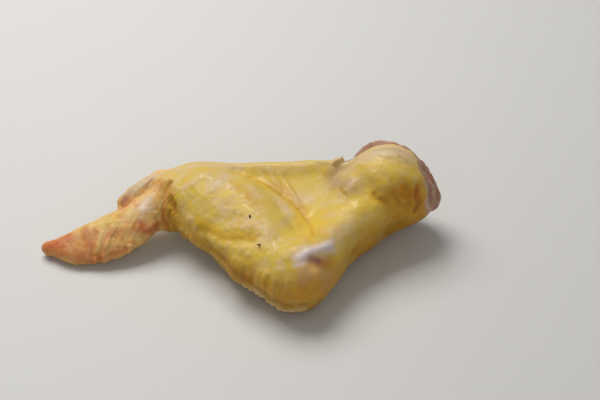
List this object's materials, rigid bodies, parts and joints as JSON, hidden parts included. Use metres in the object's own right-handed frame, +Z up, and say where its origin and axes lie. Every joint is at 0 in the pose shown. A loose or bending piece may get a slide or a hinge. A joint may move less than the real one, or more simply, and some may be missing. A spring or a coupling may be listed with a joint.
{
  "type": "raw chicken wing",
  "caption": "Whole raw chicken wing with its skin on, bent at the elbow, cut at the shoulder, with its tip and the web of skin in the crook.",
  "frame": {"origin": "middle of the bounding box in plan, at the height of the table it rests on", "axes": "+X along the longest extent, from the tip to the shoulder, +Y from the elbow to the front edge of the web, +Z up"},
  "size_m": [0.1714, 0.0824, 0.0409],
  "materials": {
    "skin": "moist raw poultry skin, yellow and cream with pinkish patches, orange pink at the tip, soft gloss"
  },
  "bodies": {
    "root": {"chicken_wing": "skin"}
  },
  "joints": []
}
